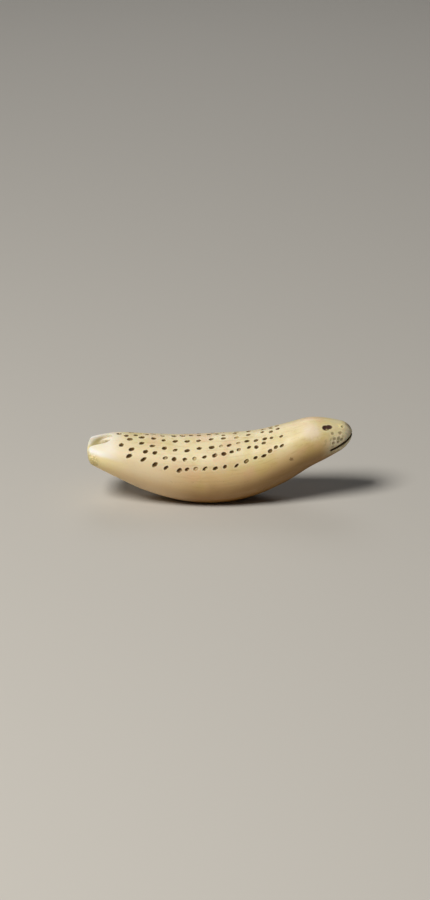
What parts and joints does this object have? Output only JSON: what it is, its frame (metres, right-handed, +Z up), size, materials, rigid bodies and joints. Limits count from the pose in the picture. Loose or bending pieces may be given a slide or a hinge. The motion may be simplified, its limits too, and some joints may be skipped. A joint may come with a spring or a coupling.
{
  "type": "carved ivory seal figurine",
  "caption": "Small seal carved from walrus tusk, lying on its belly with the head raised, with dotted back, drilled eyes, incised mouth and parted hind flippers.",
  "frame": {"origin": "middle of the seal's length and width, on the surface that its belly rests on", "axes": "+X from the hind flippers to the nose, +Y to the seal's left, +Z up"},
  "size_m": [0.075, 0.0202, 0.0243],
  "materials": {
    "walrus_ivory": "satin"
  },
  "bodies": {
    "root": {"carved_seal": "walrus_ivory"}
  },
  "joints": []
}
